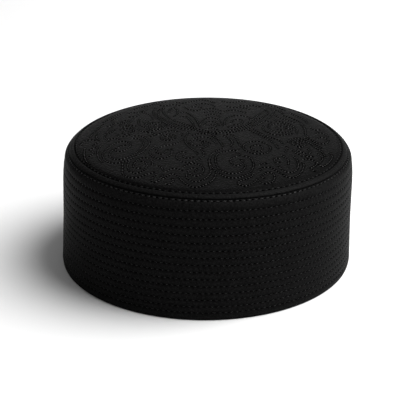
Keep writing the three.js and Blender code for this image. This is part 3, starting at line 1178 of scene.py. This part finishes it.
class SharedEffects:
    """The node groups that several finishes share."""

    def __init__(self) -> None:
        """Builds the groups once."""
        self.felt = self.felt_grain()
        self.pucker = self.stitch_pucker()
        self.crest_wear_light = self.crest_wear_and_highlight()

    @staticmethod
    def felt_grain() -> bpy.types.NodeTree:
        """Pressed fibres: tufts lying two ways over a fine fleck, and slow clouds of shade."""
        sockets = {"Vector": ("NodeSocketVector", 0.0), "Fineness": ("NodeSocketFloat", 1300.0)}
        graph = new_group("felt_grain", sockets, ("Fleck", "Cloud", "Height"))
        given = graph.node("NodeGroupInput").outputs
        fleck = graph.node("ShaderNodeTexNoise", {"Vector": given["Vector"], "Scale": given["Fineness"],
                                                  "Detail": 3.0, "Roughness": 0.6})
        hairs = []
        for tilt in (0.5, -0.9):
            slant = graph.node("ShaderNodeMapping", {"Vector": given["Vector"], "Scale": (1.0, 0.6, 1.0),
                                                     "Rotation": (0.6, 0.4, tilt)})
            hair = graph.node("ShaderNodeTexNoise", {"Vector": slant.outputs[0], "Scale": given["Fineness"],
                                                     "Detail": 1.0})
            hairs.append(hair.outputs["Fac"])
        cloud = graph.node("ShaderNodeTexNoise", {"Vector": given["Vector"], "Scale": 90.0, "Detail": 3.0})
        hair_height = graph.maths("MAXIMUM", *hairs)
        height = graph.maths("MULTIPLY_ADD", fleck.outputs["Fac"], 0.5, hair_height)
        graph.node("NodeGroupOutput", {"Fleck": fleck.outputs["Fac"], "Cloud": cloud.outputs["Fac"],
                                       "Height": height})
        return graph.tree

    @staticmethod
    def stitch_pucker() -> bpy.types.NodeTree:
        """Cloth pulled in at every stitch of a level row, with painted shade along the rows.

        The map counts stitches round and rows up. Near a whole row number the cloth is drawn down most at
        the ends of the stitches, and small creases run up and down from there.
        """
        sockets = {"Map": ("NodeSocketVector", 0.0), "Stagger": ("NodeSocketFloat", 0.37)}
        graph = new_group("stitch_pucker", sockets, ("Height", "Shade"))
        given = graph.node("NodeGroupInput").outputs
        parts = graph.node("ShaderNodeSeparateXYZ", {0: given["Map"]}).outputs
        row = graph.maths("ROUND", parts[1])
        away = graph.maths("ABSOLUTE", graph.maths("SUBTRACT", parts[1], row))
        near = graph.maths("MULTIPLY", away, away)
        row_pull = graph.maths("EXPONENT", graph.maths("MULTIPLY", near, -90.0))
        crease_pull = graph.maths("EXPONENT", graph.maths("MULTIPLY", near, -14.0))
        turn = graph.maths("MULTIPLY", graph.maths("MULTIPLY_ADD", row, given["Stagger"], parts[0]), TURN)
        beat = graph.maths("MULTIPLY_ADD", graph.maths("COSINE", turn), 0.5, 0.5)
        pull = graph.maths("MULTIPLY", graph.maths("MULTIPLY_ADD", beat, 0.6, 0.4), row_pull)
        crease = graph.maths("MULTIPLY", beat, crease_pull)
        depth = graph.maths("MULTIPLY_ADD", crease, 0.45, pull)
        height = graph.maths("MULTIPLY", depth, -1.0)
        graph.node("NodeGroupOutput", {"Height": height, "Shade": pull})
        return graph.tree

    @staticmethod
    def crest_wear_and_highlight() -> bpy.types.NodeTree:
        """Lighter tone on the proud places, broken up by the grain: partly rubbed wear, partly painted
        highlight.
        """
        sockets = {"Proud": ("NodeSocketFloat", 0.0), "Grain": ("NodeSocketFloat", 0.5)}
        graph = new_group("crest_wear_and_highlight", sockets, ("Mask",))
        given = graph.node("NodeGroupInput").outputs
        broken = graph.maths("MULTIPLY_ADD", given["Grain"], 1.2, -0.1)
        mask = graph.maths("MULTIPLY", graph.maths("POWER", given["Proud"], 2.0), broken)
        graph.node("NodeGroupOutput", {"Mask": mask})
        return graph.tree


def grey(level: float, warmth: float = 0.0) -> tuple[float, float, float, float]:
    """A near-neutral colour: its level, and how much more red than blue it has."""
    return (level * (1 + warmth), level, level * (1 - warmth), 1.0)


class Stitching(Enum):
    """How a cloth is stitched, for the bumps and painted shade that its finish shows along the stitching."""

    LEVEL_ROWS = "level rows"
    CHARTED = "charted scrolls"
    NONE = "none"


@dataclass(frozen=True)
class FeltFinish:
    """Matte black felted cloth: painted shade along its stitching, crests lighter by wear and painted
    highlight.

    Args:
        name: the material's name.
        level: how light the cloth is.
        stitching: how it is stitched.
        roughness: middle roughness.
        sheen: strength of the fibres' glow at a glancing angle.
        sheen_roughness: how widely that glow spreads.
        specular: strength of the plain gloss.
        fineness: how fine the grain is, in flecks to the metre.
        relief: height of the grain.
        pucker: depth of the cloth drawn in at the stitches.
    """

    name: str
    level: float
    stitching: Stitching
    roughness: float = 0.5
    sheen: float = 0.012
    sheen_roughness: float = 0.15
    specular: float = 0.025
    fineness: float = 900.0
    relief: float = 0.9 * MM
    pucker: float = 0.3 * MM

    def material(self, effects: SharedEffects) -> bpy.types.Material:
        """Builds the material from the shared effects with this cloth's own values."""
        made, graph = new_material(self.name)
        where = graph.node("ShaderNodeTexCoord").outputs["Object"]
        felt = graph.node("ShaderNodeGroup", node_tree=effects.felt)
        made.node_tree.links.new(where, felt.inputs["Vector"])
        felt.inputs["Fineness"].default_value = self.fineness
        proud = graph.node("ShaderNodeAttribute", attribute_name="proud").outputs["Fac"]
        crest_wear_light = graph.node("ShaderNodeGroup", node_tree=effects.crest_wear_light)
        made.node_tree.links.new(proud, crest_wear_light.inputs["Proud"])
        made.node_tree.links.new(felt.outputs["Fleck"], crest_wear_light.inputs["Grain"])
        shade, light = grey(0.72 * self.level, -0.01), grey(1.28 * self.level, 0.0)
        cloth = graph.blend(felt.outputs["Cloud"], shade, light)
        # Proud crests are made lighter: partly rubbed wear, partly painted highlight.
        worn_and_lit = graph.blend(crest_wear_light.outputs["Mask"], cloth, grey(2.0 * self.level, 0.005))
        fleck = graph.maths("MULTIPLY_ADD", felt.outputs["Fleck"], 3.2, -1.1)
        colour = graph.blend(fleck, grey(0.35 * self.level), worn_and_lit)
        low = graph.maths("SUBTRACT", 1.0, proud)
        roughness = graph.maths("MULTIPLY_ADD", felt.outputs["Fleck"], 0.5, self.roughness - 0.25)
        shader = graph.node("ShaderNodeBsdfPrincipled", {"Specular IOR Level": self.specular,
                                                         "Sheen Weight": self.sheen,
                                                         "Sheen Roughness": self.sheen_roughness,
                                                         "Roughness": roughness})
        bump = graph.node("ShaderNodeBump", {"Height": felt.outputs["Height"], "Distance": self.relief,
                                             "Strength": 0.7})
        normal = bump.outputs[0]
        if self.stitching is Stitching.LEVEL_ROWS:
            pucker = graph.node("ShaderNodeGroup", node_tree=effects.pucker)
            map_ = graph.node("ShaderNodeUVMap", uv_map="stitch_map").outputs[0]
            made.node_tree.links.new(map_, pucker.inputs["Map"])
            pulled = graph.node("ShaderNodeBump", {"Height": pucker.outputs["Height"], "Normal": normal,
                                                   "Distance": self.pucker, "Strength": 1.0})
            normal = pulled.outputs[0]
            # Painted shade: the band cloth is darkened along each row, where the stitches draw it in.
            shaded = graph.maths("MULTIPLY", pucker.outputs["Shade"], 0.35)
            colour = graph.blend(shaded, colour, grey(0.3 * self.level))
        if self.stitching is Stitching.CHARTED:
            # Painted shade: the crown cloth is darkened in the hollows along its stitched lines.
            shaded = graph.maths("MULTIPLY", graph.maths("POWER", low, 2.0), 0.15)
            colour = graph.blend(shaded, colour, grey(0.4 * self.level))
        made.node_tree.links.new(colour, shader.inputs["Base Color"])
        made.node_tree.links.new(normal, shader.inputs["Normal"])
        graph.node("ShaderNodeOutputMaterial", {"Surface": shader.outputs[0]})
        return made


@dataclass(frozen=True)
class ThreadFinish:
    """Black smooth thread, glossier than the cloth, its ply showing as fine slanting lines.

    Args:
        name: the material's name.
        level: how light the thread is.
        roughness: middle roughness.
        specular: strength of the gloss.
    """

    name: str
    level: float
    roughness: float = 0.28
    specular: float = 0.2

    def material(self) -> bpy.types.Material:
        """Builds the material: each stitch has a tone of its own, and painted shade darkens it towards its
        ends.
        """
        made, graph = new_material(self.name)
        tone = graph.node("ShaderNodeAttribute", attribute_name="tone").outputs["Fac"]
        strand = graph.node("ShaderNodeAttribute", attribute_name="strand").outputs["Fac"]
        where = graph.node("ShaderNodeTexCoord").outputs["Object"]
        fibre = graph.node("ShaderNodeTexNoise", {"Vector": where, "Scale": 5200.0, "Detail": 2.0})
        colour = graph.blend(tone, grey(0.65 * self.level), grey(1.35 * self.level, 0.01))
        # Painted shade: each stitch is darkened towards its ends, where it dives into the cloth.
        end = graph.maths("MULTIPLY", graph.maths("POWER", graph.maths("ABSOLUTE", strand), 4.0), 0.75)
        colour = graph.blend(end, colour, grey(0.2 * self.level))
        ply = graph.maths("SINE", graph.maths("MULTIPLY_ADD", strand, 14.0, fibre.outputs["Fac"]))
        roughness = graph.maths("MULTIPLY_ADD", fibre.outputs["Fac"], 0.2, self.roughness - 0.1)
        bump = graph.node("ShaderNodeBump", {"Height": ply, "Distance": 0.04 * MM, "Strength": 0.6})
        shader = graph.node("ShaderNodeBsdfPrincipled", {"Base Color": colour, "Roughness": roughness,
                                                         "Normal": bump.outputs[0],
                                                         "Specular IOR Level": self.specular})
        graph.node("ShaderNodeOutputMaterial", {"Surface": shader.outputs[0]})
        return made


@dataclass(frozen=True)
class PlainFinish:
    """A plain surface with a faint change of tone: the needle holes' painted shade, and the studio floor.

    Args:
        name: the material's name.
        level: how light it is.
        change: share of that by which the shade goes up and down.
        scale: how fine the change of shade is.
        roughness: its roughness.
        specular: strength of the gloss.
    """

    name: str
    level: float
    change: float
    scale: float
    roughness: float
    specular: float = 0.1

    def material(self) -> bpy.types.Material:
        """Builds the material."""
        made, graph = new_material(self.name)
        where = graph.node("ShaderNodeTexCoord").outputs["Object"]
        noise = graph.node("ShaderNodeTexNoise", {"Vector": where, "Scale": self.scale}).outputs["Fac"]
        shade, light = grey(self.level * (1 - self.change)), grey(self.level * (1 + self.change))
        colour = graph.blend(noise, shade, light)
        shader = graph.node("ShaderNodeBsdfPrincipled", {"Base Color": colour, "Roughness": self.roughness,
                                                         "Specular IOR Level": self.specular})
        graph.node("ShaderNodeOutputMaterial", {"Surface": shader.outputs[0]})
        return made


# The studio


@dataclass(frozen=True)
class Lamp:
    """A round soft light that shines on the cap.

    Args:
        name: the light's name.
        azimuth: where it stands round the cap in degrees, 0 behind it and 90 on its right.
        elevation: its angle over the floor in degrees.
        distance: from the middle of the floor.
        size: its width.
        power: its power in watts.
    """

    name: str
    azimuth: float
    elevation: float
    distance: float
    size: float
    power: float

    def build(self) -> None:
        """Makes the light and turns it to the middle of the floor."""
        data = bpy.data.lights.new(self.name, "AREA")
        data.shape = "DISK"
        data.size = self.size
        data.energy = self.power
        lamp = bpy.data.objects.new(self.name, data)
        turn, up = math.radians(self.azimuth), math.radians(self.elevation)
        side = self.distance * math.cos(up)
        lamp.location = (side * math.sin(turn), side * math.cos(turn), self.distance * math.sin(up))
        lamp.rotation_euler = (math.pi / 2 - up, 0, math.pi - turn)
        bpy.context.scene.collection.objects.link(lamp)


@dataclass(frozen=True)
class Studio:
    """Camera, floor and light of a plain pale studio.

    Args:
        elevation: the camera's angle over the horizon, in degrees.
        distance: from the camera to its target.
        target: the point that the camera looks at.
        scale: photograph pixels to the metre at the target.
        sensor: width of the camera's sensor in millimetres.
        floor_side: side of the square floor.
        key: the broad main light, high on the right.
        back: a weak light low behind the cap, which grazes the crown.
        world_level: strength of the even surround.
    """

    elevation: float = 23.843
    distance: float = 0.85
    target: tuple[float, float, float] = (1.4 * MM, 0.0, 32.15 * MM)
    scale: float = 1519.6
    sensor: float = 36.0
    floor_side: float = 8.0
    key: Lamp = Lamp("key", 89.0, 56.0, 1.5, 1.5, 46.0)
    back: Lamp = Lamp("back", 0.0, 7.0, 1.1, 0.8, 1.55)
    world_level: float = 0.22

    def set_camera(self) -> None:
        """Makes the camera where the photograph was taken from."""
        data = bpy.data.cameras.new("camera")
        data.sensor_width = self.sensor
        data.lens = self.scale * self.distance * self.sensor / PHOTO_SIDE
        data.clip_start = 0.01
        camera = bpy.data.objects.new("camera", data)
        angle = math.radians(self.elevation)
        x, y, z = self.target
        camera.location = (x, y - self.distance * math.cos(angle), z + self.distance * math.sin(angle))
        camera.rotation_euler = (math.pi / 2 - angle, 0, 0)
        bpy.context.scene.collection.objects.link(camera)
        bpy.context.scene.camera = camera

    def set_light(self) -> None:
        """Makes the two lights and an even dim surround."""
        self.key.build()
        self.back.build()
        world = bpy.data.worlds.new("surround")
        world.use_nodes = True
        background = world.node_tree.nodes["Background"]
        background.inputs["Color"].default_value = (1, 1, 1, 1)
        background.inputs["Strength"].default_value = self.world_level
        bpy.context.scene.world = world
        bpy.context.scene.view_settings.view_transform = "Standard"

    def set_floor(self, finish: PlainFinish) -> None:
        """Lays the pale floor just under the rim."""
        half = self.floor_side / 2
        corners = np.array([[-half, -half, 0], [half, -half, 0], [half, half, 0], [-half, half, 0]])
        floor = new_piece("studio_floor", corners, np.array([[0, 1, 2, 3]]))
        floor.data.materials.append(finish.material())


# The whole cap


@dataclass
class PrayerCap:
    """The cap: three cloth pieces with their stitches, dressed and set on the frame."""

    form: CapForm = field(default_factory=CapForm)
    made: list[bpy.types.Object] = field(default_factory=list)

    def dress(self, piece: bpy.types.Object, material: bpy.types.Material) -> bpy.types.Object:
        """Gives a piece its finish, sets it on the frame's body and reports it."""
        piece.data.materials.append(material)
        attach(piece, "root")
        self.made.append(piece)
        LOG.info("%s: %d faces", piece.name, len(piece.data.polygons))
        return piece

    def sew(
        self,
        sewing: Sewing,
        places: tuple[np.ndarray, ...],
        finish: bpy.types.Material,
        dark: bpy.types.Material,
    ) -> None:
        """Makes stitches at every place and the painted shade of the needle holes between them.

        Args:
            sewing: the stitches and holes.
            places: middles, directions along the stitches and directions out of the cloth.
            finish: material of the thread.
            dark: material of the holes, which is near-black painted shade.
        """
        middles, ways, outs = places
        stitches = sewing.thread.build(self.form, middles + sewing.thread_lift * outs, ways, outs)
        self.dress(stitches, finish)
        between = middles + 0.5 * sewing.pitch * ways + sewing.holes_lift * outs
        self.dress(sewing.holes.build(self.form, between, ways, outs), dark)

    def build_band(self, effects: SharedEffects) -> None:
        """Makes the band with its stitch rows and the painted shade of their needle holes."""
        band = QuiltedBand(self.form)
        cloth = FeltFinish("band_felt", 0.0068, Stitching.LEVEL_ROWS, sheen=0.004, specular=0.012,
                           fineness=1200.0, relief=0.6 * MM)
        piece = self.dress(band.build(), cloth.material(effects))
        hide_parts("side_band")
        rows = len(self.form.rows())
        found = [band.row_places(row, band.stitches) for row in range(rows - 1)]
        places = tuple(np.concatenate([place[axis] for place in found]) for axis in range(3))
        thread = ThreadFinish("band_thread", 0.0025, roughness=0.265, specular=0.32).material()
        # Painted shade: near-black lenses stand in for the shadow inside each needle hole.
        dark = PlainFinish("needle_hole_shade", 0.0004, 0.3, 900.0, 1.0, 0.0).material()
        quilting = Sewing(
            thread=Thread("band_stitches", 1.25 * MM, 0.45 * MM),
            thread_lift=0.1 * MM,
            holes=NeedleHoleShade("band_hole_shade", 1.25 * MM, 1.05 * MM),
            holes_lift=0.07 * MM,
            pitch=TURN * self.form.rim_radius / band.stitches,
        )
        self.sew(quilting, places, thread, dark)
        edge_thread = ThreadFinish("edge_thread", 0.005, roughness=0.265, specular=0.38).material()
        middles, ways, outs = band.row_places(rows - 1, band.edge_stitches)
        middles = middles - np.array([0.0, 0.0, band.edge_drop])
        edge = Sewing(
            thread=Thread("edge_stitches", 1.9 * MM, 0.5 * MM),
            thread_lift=0.4 * MM,
            holes=NeedleHoleShade("edge_hole_shade", 1.5 * MM, 1.2 * MM),
            holes_lift=0.55 * MM,
            pitch=TURN * self.form.band_seam[0] / band.edge_stitches,
        )
        self.sew(edge, (middles, ways, outs), edge_thread, dark)

    def build_welt(self, effects: SharedEffects) -> None:
        """Makes the welt."""
        cloth = FeltFinish("welt_felt", 0.0048, Stitching.NONE)
        piece = self.dress(RolledWelt(self.form).build(), cloth.material(effects))
        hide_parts("welt")

    def build_crown(self, effects: SharedEffects) -> None:
        """Makes the crown with its scrolls, border row and the painted shade of their needle holes."""
        chart = CrownChart(self.form)
        crown = ScrolledCrown(self.form, chart)
        cloth = FeltFinish("crown_felt", 0.001, Stitching.CHARTED)
        piece = self.dress(crown.build(), cloth.material(effects))
        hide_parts("crown_panel")
        thread = ThreadFinish("crown_thread", 0.088).material()
        dark = bpy.data.materials["needle_hole_shade"]
        scrolls = Sewing(
            thread=Thread("scroll_stitches", 0.85 * MM, 0.5 * MM, 0.08 * MM),
            thread_lift=0.12 * MM,
            holes=NeedleHoleShade("scroll_hole_shade", 1.7 * MM, 2.05 * MM),
            holes_lift=0.28 * MM,
            pitch=chart.pitch,
        )
        places = crown.places(*chart.stitches(), crown.mean_rise * crown.puff)
        self.sew(scrolls, places, thread, dark)
        border = Sewing(
            thread=Thread("border_stitches", 1.4 * MM, 0.5 * MM),
            thread_lift=0.16 * MM,
            holes=NeedleHoleShade("border_hole_shade", 1.7 * MM, 1.4 * MM),
            holes_lift=0.12 * MM,
            pitch=chart.border_pitch,
        )
        places = crown.places(*chart.border(), crown.border_puff)
        self.sew(border, places, bpy.data.materials["edge_thread"], dark)


def main() -> None:
    """Builds the studio and the cap in order."""
    logging.basicConfig(level=logging.INFO, format="%(name)s: %(message)s")
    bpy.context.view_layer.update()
    studio = Studio()
    studio.set_camera()
    studio.set_light()
    studio.set_floor(PlainFinish("pale_floor", 0.8, 0.005, 3.0, 0.9))
    effects = SharedEffects()
    cap = PrayerCap()
    cap.build_band(effects)
    cap.build_welt(effects)
    cap.build_crown(effects)
    LOG.info("%d pieces", len(cap.made))


if __name__ == "__main__":
    main()
